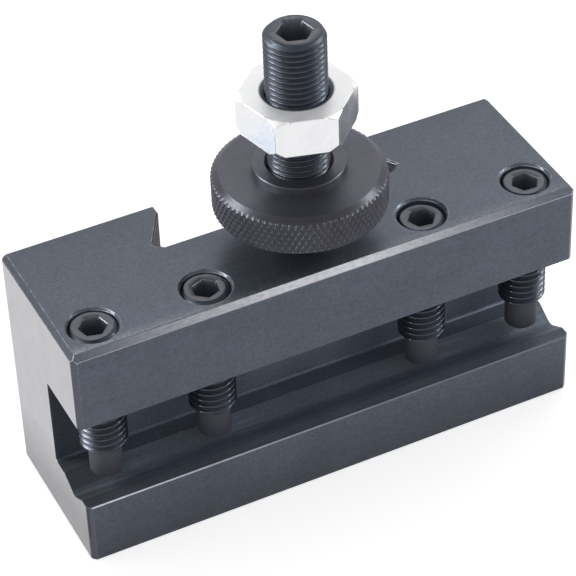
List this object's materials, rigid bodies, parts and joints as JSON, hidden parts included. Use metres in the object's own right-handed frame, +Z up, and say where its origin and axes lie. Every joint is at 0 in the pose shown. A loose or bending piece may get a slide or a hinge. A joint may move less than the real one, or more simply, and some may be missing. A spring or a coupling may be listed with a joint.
{
  "type": "lathe tool holder",
  "caption": "Quick-change lathe tool holder: a slotted steel block with a dovetail back, dog-point clamp screws, and a height stud with a knurled nut and a lock nut.",
  "frame": {"origin": "middle of the base, half way along the body's length and half way between its front and back faces", "axes": "+X along the holder, +Y towards the dovetail, +Z up along the clamp screws and the height stud"},
  "size_m": [0.09, 0.0324, 0.0833],
  "materials": {
    "blackened_body_steel": "hardened steel, ground and blackened, bright on the broken edges",
    "blackened_screw_steel": "black oxide on rolled threads",
    "knurled_dark_steel": "turned and diamond knurled, dark grey oxide",
    "zinc_plated_steel": "bright zinc plating"
  },
  "bodies": {
    "holder": {"holder_body": "blackened_body_steel", "height_stud": "blackened_screw_steel"},
    "clamp_screw_1": {"clamp_screw_1": "blackened_screw_steel"},
    "clamp_screw_2": {"clamp_screw_2": "blackened_screw_steel"},
    "clamp_screw_3": {"clamp_screw_3": "blackened_screw_steel"},
    "clamp_screw_4": {"clamp_screw_4": "blackened_screw_steel"},
    "height_nut": {"height_nut": "knurled_dark_steel"},
    "lock_nut": {"lock_nut": "zinc_plated_steel"}
  },
  "joints": [
    {"name": "clamp_screw_1_travel", "type": "slide", "parent": "holder", "child": "clamp_screw_1", "axis": [0, 0, 1], "range_m": [-0.0024, 0.0152]},
    {"name": "clamp_screw_2_travel", "type": "slide", "parent": "holder", "child": "clamp_screw_2", "axis": [0, 0, 1], "range_m": [-0.0024, 0.0152]},
    {"name": "clamp_screw_3_travel", "type": "slide", "parent": "holder", "child": "clamp_screw_3", "axis": [0, 0, 1], "range_m": [-0.0019, 0.0157]},
    {"name": "clamp_screw_4_travel", "type": "slide", "parent": "holder", "child": "clamp_screw_4", "axis": [0, 0, 1], "range_m": [-0.0021, 0.0155]},
    {"name": "height_nut_travel", "type": "slide", "parent": "holder", "child": "height_nut", "axis": [0, 0, 1], "range_m": [-0.007, 0.0054]},
    {"name": "lock_nut_travel", "type": "slide", "parent": "height_nut", "child": "lock_nut", "axis": [0, 0, 1], "range_m": [-0.007, 0.0054]}
  ]
}
